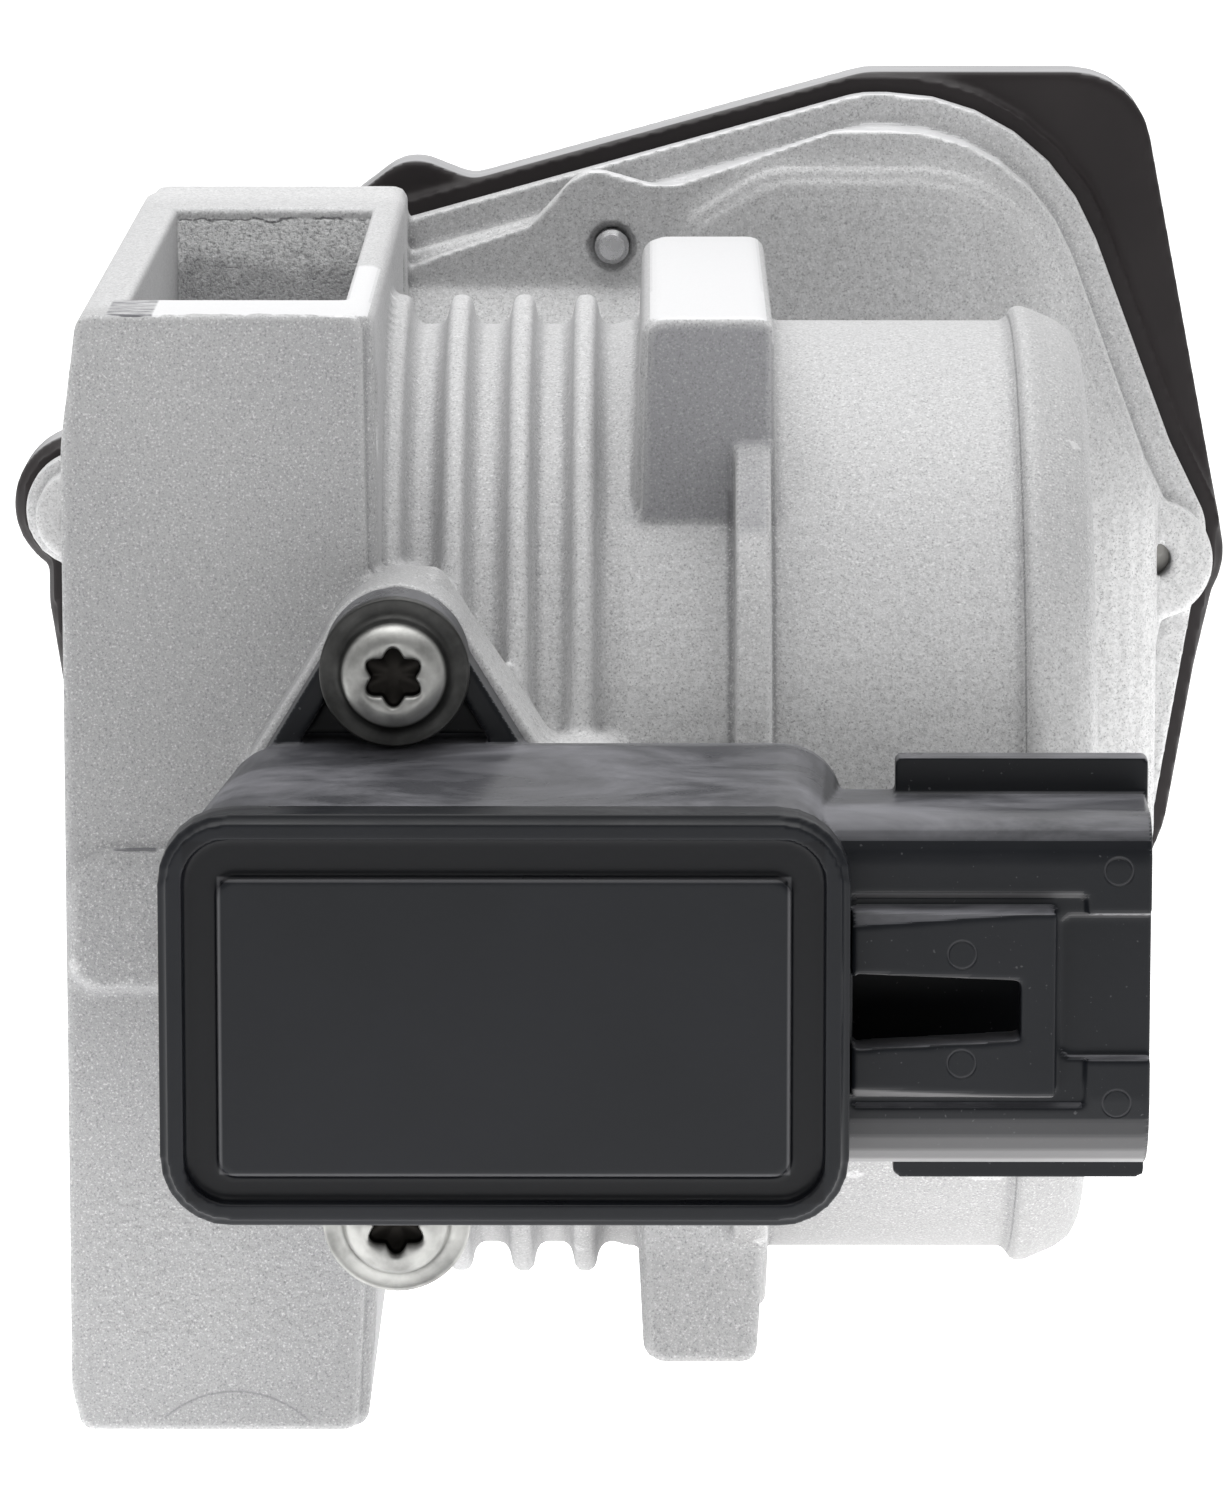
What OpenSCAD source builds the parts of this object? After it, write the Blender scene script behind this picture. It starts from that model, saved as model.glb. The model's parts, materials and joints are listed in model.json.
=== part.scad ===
// Electronic throttle body with a single 65 mm bore, a position sensor and a geared motor drive.
// X runs along the air bore from the manifold face (0) to the inlet, Y runs along the throttle
// shaft from the sensor (-Y) to the gearbox (+Y), Z is up. Everything is in millimetres.

/* [Bore and barrel] */
// Air bore diameter
bore_d = 65; // [60:0.5:66]
// Barrel outside diameter, which a 3 inch hose fits
barrel_d = 76.2; // [76:0.1:77]
// Length from the manifold face to the inlet lip
body_len = 80.2; // [79.2:0.5:84.2]
// Crest radius of the hose bead
bead_r = 39.3; // [38.6:0.1:39.8]
// Crest radius of the cooling ribs
rib_r = 40.2; // [39.4:0.1:40.6]

/* [Manifold flange] */
// Thickness of the manifold flange block
flange_t = 24.6; // [24.4:0.1:25]
// Half height of the flange block
flange_half = 44; // [43:0.5:46]
// Sensor side of the flange block, from the bore axis
flange_front = 42; // [41:0.5:43]
// Gearbox side of the flange block, from the bore axis
flange_back = 44.8; // [44:0.1:44.9]
// Spacing of the four mounting bolts
bolt_pitch = 72; // [70:0.5:73]
// Bolt hole diameter
bolt_hole_d = 6.6; // [6.4:0.1:7]

/* [Throttle] */
// Distance of the throttle shaft from the manifold face
shaft_x = 25.9; // [25:0.1:27]
// Shaft diameter in the bore
shaft_d = 10; // [9:0.5:10]
// Plate diameter
plate_d = 64.7; // [60:0.1:64.7]
// Plate thickness
plate_t = 2; // [1.6:0.1:2.4]
// Plate angle from closed when the drive is off
rest_open = 7; // [4:1:9]

/* [Gear train] */
// Motor axis, from the manifold face
motor_x = 69; // [68:0.5:70]
// Motor axis height
motor_z = 27; // [26:0.5:28]
// Motor can diameter
motor_d = 34; // [32:1:35]
// Motor can length
motor_len = 38; // [34:1:40]
// Sector gear teeth, counted round the full circle
sector_n = 52; // [50:1:54]
// Idler pinion teeth
idler_n = 13; // [13:1:14]
// Idler wheel teeth
wheel_n = 56; // [54:1:58]
// Motor pinion teeth
pinion_n = 14; // [13:1:15]

/* [Sensor] */
// Height of the upper sensor screw
screw_up_z = 18.2; // [18:0.1:18.6]
// Height of the lower sensor screw
screw_low_z = -24.2; // [-24.5:0.1:-24]
// Width of the sensor lid
lid_w = 51.3; // [50:0.1:52]
// Height of the sensor lid
lid_h = 31.2; // [30:0.1:31.5]

/* [Hidden] */
$fn = 96;
ARC = 6;                                  // segments in one rounded corner of an outline
journal_d = 8;                            // shaft diameter at the bearings
sector_m = 1;                             // gear modules of the two stages
wheel_m = 0.6;
motor_slots = 5;
bore_r = bore_d / 2;
barrel_r = barrel_d / 2;
wall_r = bore_r + 3.8;                    // cored wall round the bore inside the flange

// Planes along the shaft.
pad_y = -47;                              // sensor seat on the casting
lid_y = -66;                              // sensor lid joint
lid_front_y = -70.2;
ear_y = -52;                              // front of the sensor's screw ears
bulge_y = 44;                             // front of the deep part of the gearbox
tray_y = 47.2;                            // front of the shallow part of the gearbox
rim_y = 49;                               // front of the gearbox flange
seat_y = 52;                              // cover joint
roof_y = 61;                              // inside of the cover over the gears
cover_top_y = 63.5;
motor_y = 59;                             // drive end of the motor can
motor_end_y = motor_y + motor_len;
wheel_y = 47.4;
wheel_t = 3.8;
sector_y = 52.4;
sector_t = 4.8;

// Gear centres: the idler stands where both stages mesh.
stage1 = sector_m * (sector_n + idler_n) / 2;
stage2 = wheel_m * (wheel_n + pinion_n) / 2;
span = norm([motor_x - shaft_x, motor_z]);
along = (stage1 ^ 2 - stage2 ^ 2 + span ^ 2) / (2 * span);
aside = sqrt(stage1 ^ 2 - along ^ 2);
toward = [motor_x - shaft_x, motor_z] / span;
idler_x = shaft_x + along * toward.x + aside * toward.y;
idler_z = along * toward.y - aside * toward.x;
mesh1 = atan2(idler_z, idler_x - shaft_x);
mesh2 = atan2(motor_z - idler_z, motor_x - idler_x);

// Places along the two outlines of the gearbox.
left_boss = [-4.7, 15.3];
top_boss = [20.6, 37.6];
right_boss = [89.5, 11.2];
low_right_boss = [77, -34];
low_left_boss = [4.6, -34];
bosses = [left_boss, top_boss, right_boss, low_right_boss, low_left_boss];
plug = [41.9, 39.2];

// Corners of the cover outline as [x, z, corner radius], counter-clockwise.
cover_corners = [[96.1, 12, 9], [88.1, 53.7, 7], [64, 53.7, 8], [29.6, 44.2, 3],
    [24, 46.4, 4], [-4.5, 24.6, 6], [-8.1, 16, 3], [-8.1, 6.6, 3], [-6.6, -3, 5],
    [-1, -40, 7], [80, -40, 9], [91.2, -13, 12], [93.6, 1, 6]];
// Corners of the cast flange that carries the cover.
rim_corners = [[94.4, 14.5, 4], [91, 21.5, 4], [79.6, 52.1, 19.5], [63.5, 52.1, 8],
    [21.5, 40.4, 3], [-3.5, 23, 6], [-6.3, 16, 3], [-6.3, 7.6, 4],
    [-4.8, -4, 5], [0.8, -38, 6], [79, -38, 8], [89.6, -13.5, 10], [92.4, 3, 6]];
// Corners of the shallow gear pocket, with its S-shaped upper edge.
tray_corners = [[88.6, 20.5, 6], [78.1, 49.3, 17], [61.5, 49.3, 6], [46.5, 44.2, 6],
    [39.5, 46.2, 3.5], [34.8, 41, 4], [27, 38.4, 5], [8, 31, 8], [1, 14, 8], [4, -33, 8],
    [76, -33, 8], [88.2, 2, 6]];
// Corners of the deep pocket for the idler wheel and the motor pinion.
deep_corners = [[89.8, -14, 4], [89.8, 17.5, 8], [83.2, 31, 20], [80, 47, 14], [55, 47, 9],
    [47, 42, 5], [46, 27.5, 2], [35, 27.5, 6], [35, -26, 6], [80, -26, 6]];

function unit(v) = v / norm(v);
function turned(v, a) = [v.x * cos(a) - v.y * sin(a), v.x * sin(a) + v.y * cos(a)];
function xy(p) = [p.x, p.y];
function cross2(a, b) = a.x * b.y - a.y * b.x;

// One corner of an outline, rounded to its radius by an arc.
function corner(a, b, c, r) =
    let (u = unit(a - b), v = unit(c - b), half = acos(u * v) / 2)
    let (centre = b + unit(u + v) * r / sin(half), start = b + u * r / tan(half) - centre)
    let (sweep = (180 - 2 * half) * sign(cross2(b - a, c - b)))
    [for (i = [0:ARC]) centre + turned(start, sweep * i / ARC)];
function rounded(list) = let (n = len(list)) [for (i = [0:n - 1])
    each corner(xy(list[(i + n - 1) % n]), xy(list[i]), xy(list[(i + 1) % n]), list[i].z)];
// The same corners moved in by d, measured square to each side.
function moved_in(a, b, c, d) =
    let (e = unit(b - a), f = unit(c - b), s = cross2(e, f))
    b + d * (f - e) / s;
function inset(list, d) = let (n = len(list)) [for (i = [0:n - 1])
    let (a = xy(list[(i + n - 1) % n]), b = xy(list[i]), c = xy(list[(i + 1) % n]))
    let (p = moved_in(a, b, c, d), convex = cross2(b - a, c - b) > 0)
    [p.x, p.y, max(0.6, list[i].z + (convex ? -d : d))]];

function box_corners(x0, z0, x1, z1, r) = [[x0, z0, r], [x1, z0, r], [x1, z1, r], [x0, z1, r]];

// Involute tooth: half its angle at radius r, for a gear of module m with n teeth.
PRESSURE = 20;
BACKLASH = 0.07;                          // tooth thinning at the pitch circle
function involute(a) = tan(a) * 180 / PI - a;
function half_tooth(m, n, r) =
    90 / n - BACKLASH / (m * n) * 180 / PI + involute(PRESSURE)
    - involute(acos(min(1, m * n / 2 * cos(PRESSURE) / r)));
function tooth(m, n, middle) =
    let (pitch = m * n / 2, base = pitch * cos(PRESSURE), tip = pitch + 0.8 * m)
    let (root = pitch - 1.05 * m, low = max(base, root), steps = 4)
    let (radii = concat([root], [for (i = [0:steps]) low + (tip - low) * i / steps]))
    concat([for (r = radii) r * [cos(middle - half_tooth(m, n, max(r, low))),
        sin(middle - half_tooth(m, n, max(r, low)))]],
        [for (i = [len(radii) - 1:-1:0]) let (r = radii[i])
            r * [cos(middle + half_tooth(m, n, max(r, low))),
            sin(middle + half_tooth(m, n, max(r, low)))]]);
function gear(m, n, middle) = [for (i = [0:n - 1]) each tooth(m, n, middle + i * 360 / n)];

module ycyl(d, y0, y1, p = [0, 0]) {
    translate([p.x, y0, p.y]) rotate([-90, 0, 0]) cylinder(d = d, h = y1 - y0);
}
module ycone(d0, d1, y0, y1, p = [0, 0]) {
    translate([p.x, y0, p.y]) rotate([-90, 0, 0]) cylinder(d1 = d0, d2 = d1, h = y1 - y0);
}
module xcyl(d, x0, x1, y = 0, z = 0) {
    translate([x0, y, z]) rotate([0, 90, 0]) cylinder(d = d, h = x1 - x0);
}
module yring(outer, inner, y0, y1, p = [0, 0]) {
    difference() {
        ycyl(outer, y0, y1, p);
        ycyl(inner, y0 - 1, y1 + 1, p);
    }
}
// Flat shape in the X-Z plane, given thickness along Y.
module slab(y0, y1, p = [0, 0]) {
    translate([p.x, y1, p.y]) rotate([90, 0, 0]) linear_extrude(y1 - y0) children();
}
module block(low, high) {
    translate(low) cube(high - low);
}
// Flat shape in the Y-Z plane, given length along X.
module across(x0, x1) {
    translate([x0, 0, 0]) rotate([90, 0, 90]) linear_extrude(x1 - x0) children();
}
module circles(places, d) {
    for (p = places) translate(p) circle(d = d);
}
shaft_p = [shaft_x, 0];
idler_p = [idler_x, idler_z];
motor_p = [motor_x, motor_z];

// ---- Casting ----
// Outside of the barrel from the flange to the inlet, with its ribs and hose bead.
rib_places = [24.85, 29.8, 34.9, 40];
bead_x = 75;
bead_land = 0.8;
function rib(x, base) = [[base, x - 1.4], [base + 0.9, x - 1.05], [rib_r - 0.4, x - 0.85],
    [rib_r, x - 0.45], [rib_r, x + 0.45], [rib_r - 0.4, x + 0.85], [base + 0.9, x + 1.05],
    [base, x + 1.4]];
barrel_profile = concat([[bore_r - 1, 2], [barrel_r - 0.3, 2]],
    [for (x = rib_places) each rib(x, barrel_r - 0.3)],
    [[barrel_r - 0.3, 42.6], [barrel_r, 43.2], [barrel_r, bead_x - 0.75],
    [barrel_r + 0.45, bead_x - 0.5], [bead_r, bead_x], [bead_r, bead_x + bead_land],
    [barrel_r + 0.1, body_len - 1.8], [barrel_r - 0.8, body_len - 0.6],
    [barrel_r - 2.1, body_len], [bore_r - 1, body_len]]);

module barrel_outside() {
    rotate([0, 90, 0]) rotate_extrude() polygon(barrel_profile);
}
pocket_x0 = 4.8;
pocket_x1 = 21.5;
pocket_y0 = -32;
pocket_y1 = 32;
// Side view of the flange block: the mould's draft narrows it towards both ends.
function flange_corners(t) = [[0, -flange_half + 3.4, 2], [0.8, -flange_half, 1.2],
    [t - 1.4, -flange_half, 1.2], [t - 0.3, -24, 20], [t - 0.3, 24, 20],
    [t - 0.6, flange_half, 1.2], [1.3, flange_half, 1.2], [0, flange_half - 10, 12]];
module flange_outside() {
    slab(-flange_front, -flange_front + 2) polygon(rounded(flange_corners(flange_t - 0.8)));
    slab(-flange_front + 1.4, flange_back) polygon(rounded(flange_corners(flange_t)));
    slab(flange_back - 1, 50)
        polygon(rounded([[1.7, 34, 2], [flange_t - 0.6, 28, 2],
            [flange_t - 0.6, flange_half, 1.2], [1.7, flange_half, 1.2]]));
}
module flange_pockets() {
    difference() {
        block([pocket_x0, pocket_y0, -60], [pocket_x1, pocket_y1, 60]);
        xcyl(2 * wall_r, pocket_x0 - 1, pocket_x1 + 1);
        block([0, -50, -24], [flange_t, 50, 24]);
    }
}
lug_y = 28.1;
lug_z = 42.1;
module lugs() {
    difference() {
        union() {
            slab(-lug_y, lug_y)
                polygon(rounded([[44.2, -18, 1], [45.2, -lug_z, 1.3], [53.8, -lug_z, 1.3],
                    [55.2, -18, 1], [55.2, 18, 1], [54.9, lug_z, 1.3], [45, lug_z, 1.6],
                    [44.2, 18, 1]]));
            slab(-lug_y + 1.3, lug_y - 1.3)
                polygon(rounded([[43.6, -18, 1], [44.8, -lug_z, 1.3], [53.8, -lug_z, 1.3],
                    [55.2, -18, 1], [55.2, 18, 1], [54.9, lug_z, 1.3], [44.6, lug_z, 1.6],
                    [43.6, 18, 1]]));
        }
        xcyl(2 * (bore_r + 2), 43, 57);
    }
}
// Raised band round the sensor side of the barrel, from one lug to the other.
band_r = 42.9;
module side_band() {
    difference() {
        xcyl(2 * band_r, 51.9, 54.7);
        xcyl(2 * (bore_r + 2), 51, 56);
        block([51, -12, -50], [56, 50, 50]);
    }
}
// Seat of the sensor: a pad behind its body, and a fairing round each screw ear.
module sensor_seat() {
    slab(pad_y, -30) {
        polygon(rounded(box_corners(16, -18, 44, 10.8, 3)));
        circles([[shaft_x, screw_up_z]], 10);
        circles([[shaft_x, screw_low_z]], 11.4);
        polygon([[shaft_x - 5.7, screw_low_z], [shaft_x + 5.7, screw_low_z],
            [shaft_x + 5.7, -17], [shaft_x - 5.7, -17]]);
    }
    slab(pad_y, -37) {
        circles([[shaft_x, screw_up_z]], 11.6);
        polygon(rounded([[13.6, 9, 1], [38.4, 9, 1], [31.2, 20.4, 1], [20.7, 20.4, 1]]));
    }
    slab(-41.5, -37)
        polygon(rounded([[13, 9, 1], [38.8, 9, 1], [29, 23.9, 1.5], [21.6, 23.9, 1.5]]));
    slab(-flange_front - 0.8, -flange_front + 1)
        polygon(rounded([[0.5, -8.5, 2], [20, -8.5, 1], [20, 2.2, 1], [0.5, 2.2, 3.4]]));
}
// Outline whose front edge rolls over by a depth and a width, in five steps.
module rolled(y0, y1, corners, depth, width) {
    for (t = [0:22.5:90])
        slab(y0 + depth * (1 - cos(t)), y1)
            polygon(rounded(inset(corners, width * (1 - sin(t)))));
}
module gearbox_outside() {
    slab(rim_y, seat_y) {
        polygon(rounded(rim_corners));
        circles([left_boss], 10.2);
        circles([top_boss], 9.4);
    }
    slab(tray_y, rim_y + 0.5) polygon(rounded(inset(rim_corners, 2.6)));
    slab(bulge_y + 1.6, tray_y + 0.5) polygon(rounded(tray_corners));
    rolled(bulge_y, tray_y + 0.5, deep_corners, 2.2, 3.8);
    // Neck that joins the gearbox to the barrel and the flange.
    block([3, 28, -26], [57, bulge_y + 2, 26]);
    ycyl(36, 28, bulge_y + 2, shaft_p);
    across(20, 47.5) polygon([[tray_y, 37.4], [41.5, 31.5], [38, 20], [tray_y, 20]]);
    slab(rim_y - 4, seat_y) circles([left_boss], 8);
    slab(tray_y, seat_y) circles([right_boss], 10.6);
}
module gearbox_inside() {
    slab(rim_y + 0.6, seat_y + 1) polygon(rounded(inset(rim_corners, rim_w)));
    slab(bulge_y + 2.4, seat_y + 1) {
        polygon(rounded(inset(deep_corners, 3.5)));
        translate(idler_p) circle(r = wheel_m * wheel_n / 2 + 1.6);
    }
    slab(46.6, seat_y + 1) translate(shaft_p) circle(d = 36);
}
rim_w = 8.6;                              // width of the screw flange
seal_in = 6.7;                            // outer edge of the seal, from the flange outline
seal_w = 1.3;
module seal_track(d = 0) {
    difference() {
        polygon(rounded(inset(rim_corners, seal_in - d)));
        polygon(rounded(inset(rim_corners, seal_in + seal_w + d)));
    }
}
module gearbox_bosses() {
    slab(rim_y, seat_y) {
        circles(bosses, 9.4);
        circles([plug], 6);
    }
    ycyl(10, bulge_y + 1, wheel_y - 0.3, idler_p);
    yring(26, 22, 44, 48, shaft_p);
    ycyl(7, bulge_y + 1, 50, stop_p);
}
stop_p = [9, -16];
module throttle_housing() color("silver") {
    difference() {
        union() {
            barrel_outside();
            flange_outside();
            lugs();
            side_band();
            sensor_seat();
            ycyl(22, pad_y, -30, shaft_p);
            difference() {
                gearbox_outside();
                gearbox_inside();
            }
            gearbox_bosses();
        }
        xcyl(bore_d, -1, body_len + 1);
        translate([body_len - 1.4, 0, 0]) rotate([0, 90, 0])
            cylinder(r1 = bore_r, r2 = bore_r + 1.6, h = 1.6);
        flange_pockets();
        for (y = [-1, 1], z = [-1, 1])
            xcyl(bolt_hole_d, -1, flange_t + 1, y * bolt_pitch / 2, z * bolt_pitch / 2);
        // Shaft passage, bearing seats and seal seats.
        ycyl(shaft_d + 0.3, -60, 60, shaft_p);
        ycyl(12, pad_y - 1, -37.5, shaft_p);
        ycyl(14, -37.5, -34.5, shaft_p);
        ycyl(22, 38.5, 60, shaft_p);
        ycyl(16, 34.5, 38.5, shaft_p);
        // Tapped holes.
        for (z = [screw_up_z, screw_low_z]) ycyl(4.3, pad_y - 1, -34, [shaft_x, z]);
        for (p = bosses) ycyl(3.3, rim_y - 0.6, seat_y + 1, p);
        ycyl(3.3, rim_y - 5, seat_y, left_boss);
        ycyl(3.3, tray_y - 0.2, seat_y, right_boss);
        ycyl(4, bulge_y - 1, seat_y + 1, idler_p);
        ycyl(3.02, bulge_y, seat_y - 1.2, plug);
        yring(4.2, 3, bulge_y, bulge_y + 2.6, plug);
        ycyl(4.02, bulge_y, 60, stop_p);
        slab(seat_y - 0.9, seat_y + 1) seal_track(0.03);
    }
}

// ---- Throttle plate and its shaft ----
flat_y = 30.5;                            // half length of the slot for the plate
module shaft_turn() {
    translate([shaft_x, 0, 0]) rotate([0, rest_open, 0]) children();
}
module throttle_shaft() color("lightsteelblue") {
    difference() {
        union() {
            ycyl(shaft_d, -34, 34.5, shaft_p);
            ycyl(journal_d, -50, 52, shaft_p);
            ycyl(6, -57, 59.6, shaft_p);
        }
        // Slot that the plate slides into, and the two tapped holes across it.
        shaft_turn() block([-plate_t / 2 - 0.02, -bore_r - 0.6, -6], [plate_t / 2 + 0.02,
            bore_r + 0.6, 6]);
        shaft_turn() for (y = [-15, 15]) xcyl(4.2, -8, 8, y);
        // Flats that carry the sensor rotor and the sector gear.
        shaft_turn() for (s = [-1, 1]) {
            block([min(s * 2.4, s * 6), -58, -6], [max(s * 2.4, s * 6), -51.2, 6]);
            block([min(s * 2.4, s * 6), 52.1, -6], [max(s * 2.4, s * 6), 57.2, 6]);
        }
    }
}
module throttle_plate() color("gold") {
    shaft_turn() difference() {
        xcyl(plate_d, -plate_t / 2, plate_t / 2);
        for (y = [-15, 15]) xcyl(4.2, -2, 2, y);
    }
}
module plate_screws() color("dimgray") {
    shaft_turn() for (y = [-15, 15]) difference() {
        union() {
            xcyl(4.1, -4.4, 5.2, y);
            xcyl(7, 5.02, 6.8, y);
        }
        xcyl(2.4, 5.4, 7, y);
    }
}

// ---- Bearings and seals ----
roller_n = 13;
module needle_bearing_shell() color("silver") {
    difference() {
        ycyl(12, -46.5, -37.6, shaft_p);
        ycyl(10.9, -46, -38.1, shaft_p);
        ycyl(9, -47, -37, shaft_p);
    }
}
module needle_rollers() color("gainsboro") {
    for (i = [0:roller_n - 1]) let (a = i * 360 / roller_n)
        ycyl(1.3, -45.9, -38.2, [shaft_x + 4.72 * cos(a), 4.72 * sin(a)]);
}
race_y0 = 38.6;
race_y1 = 45.6;
ball_d = 4;
ball_n = 9;
pitch_r = 7.5;
module raceway(groove) {
    translate([shaft_x, (race_y0 + race_y1) / 2, 0]) rotate([-90, 0, 0])
        rotate_extrude() translate([pitch_r, 0]) circle(d = groove);
}
module ball_bearing_outer_race() color("silver") {
    difference() {
        yring(22, 17.6, race_y0, race_y1, shaft_p);
        raceway(ball_d + 0.1);
    }
}
module ball_bearing_inner_race() color("silver") {
    difference() {
        yring(12.4, 8, race_y0, race_y1, shaft_p);
        raceway(ball_d + 0.1);
    }
}
module ball_bearing_balls() color("gainsboro") {
    for (i = [0:ball_n - 1]) let (a = i * 360 / ball_n)
        translate([shaft_x + pitch_r * cos(a), (race_y0 + race_y1) / 2, pitch_r * sin(a)])
            sphere(d = ball_d);
}
module front_shaft_seal() color("black") {
    yring(14, 10.1, -37.4, -34.6, shaft_p);
}
module rear_shaft_seal() color("black") {
    yring(16, 10.1, 35, 38, shaft_p);
}

// ---- Gear train ----
first_tooth = -3;
last_tooth = 14;
module sector_gear() color("ivory") {
    points = [for (i = [first_tooth:last_tooth])
        each tooth(sector_m, sector_n, mesh1 + i * 360 / sector_n)];
    difference() {
        union() {
            slab(sector_y, sector_y + sector_t, shaft_p) {
                polygon(concat([[0, 0]], points));
                circle(d = 26);
            }
            ycyl(18, sector_y - 0.2, sector_y + sector_t, shaft_p);
        }
        slab(sector_y - 1, sector_y + sector_t + 1, shaft_p) {
            polygon(rounded([for (k = [[15.5, 6], [21, 2.5], [21, 20], [21, 40], [15.5, 37],
                [15.5, 20]]) let (a = mesh1 + k.y) [k.x * cos(a), k.x * sin(a), 1.2]]));
            polygon(rounded([for (k = [[15.5, 50], [21, 47], [21, 65], [21, 84], [15.5, 81],
                [15.5, 65]]) let (a = mesh1 + k.y) [k.x * cos(a), k.x * sin(a), 1.2]]));
        }
        // Bore with two flats that drives the shaft.
        difference() {
            ycyl(6.04, 50, 60, shaft_p);
            shaft_turn() for (s = [-1, 1])
                block([min(s * 2.42, s * 6), 49, -6], [max(s * 2.42, s * 6), 61, 6]);
        }
    }
}
module sector_nut() color("gray") {
    difference() {
        slab(57.3, 59.5, shaft_p) circle(d = 11.5, $fn = 6);
        ycyl(6.02, 57, 60, shaft_p);
    }
}
// Coil spring of round wire with its two legs turned out, as one swept tube.
wire_d = 1.3;
coil_r = 14.6;
coils = 3;
coil_steps = 24;
coil_y0 = 47.4;
coil_pitch = 1.42;
function coil_point(t) = [shaft_x + coil_r * cos(t), coil_y0 + coil_pitch * t / 360,
    coil_r * sin(t)];
module return_spring() color("darkgray") {
    rings = coils * coil_steps;
    sides = 8;
    points = [for (i = [0:rings]) let (t = i * 360 / coil_steps, c = coil_point(t))
        for (j = [0:sides - 1]) let (a = j * 360 / sides, w = wire_d / 2)
            c + w * [cos(t) * cos(a), sin(a), sin(t) * cos(a)]];
    walls = [for (i = [0:rings - 1], j = [0:sides - 1]) let (k = (j + 1) % sides)
        [i * sides + j, i * sides + k, (i + 1) * sides + k, (i + 1) * sides + j]];
    ends = [[for (j = [sides - 1:-1:0]) j], [for (j = [0:sides - 1]) rings * sides + j]];
    polyhedron(points, concat(walls, ends), convexity = 4);
}
module spring_bush() color("ivory") {
    yring(27.4, 26.06, 46.7, 51.8, shaft_p);
}
module idler_gear() color("ivory") {
    difference() {
        union() {
            slab(wheel_y, wheel_y + wheel_t, idler_p)
                polygon(gear(wheel_m, wheel_n, mesh2));
            slab(wheel_y + wheel_t - 0.5, sector_y + sector_t + 0.2, idler_p)
                polygon(gear(sector_m, idler_n, mesh1 + 180 + 180 / idler_n));
        }
        ycyl(4.1, 40, 62, idler_p);
        yring(28, 15, wheel_y - 1, wheel_y + 1, idler_p);
    }
}
module idler_pin() color("silver") {
    ycyl(4, bulge_y + 0.3, roof_y - 0.2, idler_p);
}
module blanking_plug() color("gray") {
    ycyl(3, tray_y - 2.2, seat_y - 1.2, plug);
    ycone(2.2, 3, tray_y - 2.8, tray_y - 2.2, plug);
}
module stop_screw() color("dimgray") {
    difference() {
        ycyl(4, bulge_y + 0.5, 56, stop_p);
        slab(55, 57, stop_p) circle(d = 2.4, $fn = 6);
    }
}

// ---- Motor ----
module motor_pinion() color("goldenrod") {
    difference() {
        slab(47, 52, motor_p)
            polygon(gear(wheel_m, pinion_n, mesh2 + 180 + 180 / pinion_n));
        ycyl(3, 46, 60, motor_p);
    }
}
module motor_shaft() color("silver") {
    ycyl(3, 46.7, motor_end_y - 1.5, motor_p);
}
module motor_armature() color("dimgray") {
    difference() {
        ycyl(24, motor_y + 7, motor_y + 24, motor_p);
        ycyl(3, motor_y, motor_y + 40, motor_p);
        for (i = [0:motor_slots - 1]) let (a = i * 360 / motor_slots)
            translate([motor_x, 0, motor_z]) rotate([0, a, 0]) {
                block([9.6, motor_y + 6, -1], [13, motor_y + 25, 1]);
                block([5.5, motor_y + 6, -2.6], [9.8, motor_y + 25, 2.6]);
            }
    }
}
module motor_windings() color("peru") {
    for (i = [0:motor_slots - 1]) let (a = i * 360 / motor_slots)
        translate([motor_x, 0, motor_z]) rotate([0, a, 0])
            block([5.7, motor_y + 6.2, -2.4], [9.4, motor_y + 24.8, 2.4]);
    yring(17, 8, motor_y + 4.6, motor_y + 6.2, motor_p);
    yring(17, 8, motor_y + 24.8, motor_y + 26.2, motor_p);
}
module motor_commutator() color("peru") {
    difference() {
        yring(8, 3, motor_y + 26.4, motor_y + 34, motor_p);
        for (i = [0:motor_slots - 1])
            translate([motor_x, 0, motor_z]) rotate([0, i * 360 / motor_slots, 0])
            block([3.2, motor_y + 26, -0.25], [5, motor_y + 35, 0.25]);
    }
}
module motor_case() color("lightgray") {
    difference() {
        ycyl(motor_d, motor_y, motor_end_y - 2, motor_p);
        ycyl(motor_d - 3, motor_y + 1.5, motor_end_y, motor_p);
        ycyl(3.12, motor_y - 1, motor_y + 2, motor_p);
        for (s = [-1, 1]) ycyl(3.2, motor_y - 1, motor_y + 2, motor_p + s * [0, 10]);
    }
    yring(8, 3.12, motor_y - 1.6, motor_y + 4, motor_p);
}
module motor_magnets() color("dimgray") {
    difference() {
        yring(motor_d - 3.1, 25, motor_y + 5, motor_y + 27, motor_p);
        block([motor_x - 3, motor_y, motor_z - 20], [motor_x + 3, motor_end_y, motor_z + 20]);
    }
}
module motor_end_cap() color("dimgray") {
    difference() {
        union() {
            ycyl(motor_d - 3.1, motor_end_y - 4, motor_end_y - 1.9, motor_p);
            ycyl(motor_d, motor_end_y - 2, motor_end_y, motor_p);
        }
        ycyl(3.12, motor_end_y - 5, motor_end_y - 1, motor_p);
        for (z = [-8, 8]) block([motor_x - 11, motor_end_y - 5, motor_z + z - 2.1],
            [motor_x - 8.9, motor_end_y + 1, motor_z + z + 2.1]);
    }
}
module motor_brushes() color("dimgray") {
    for (s = [-1, 1]) block([motor_x + min(s * 4.1, s * 9), motor_y + 28, motor_z - 2],
        [motor_x + max(s * 4.1, s * 9), motor_y + 32, motor_z + 2]);
}
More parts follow.
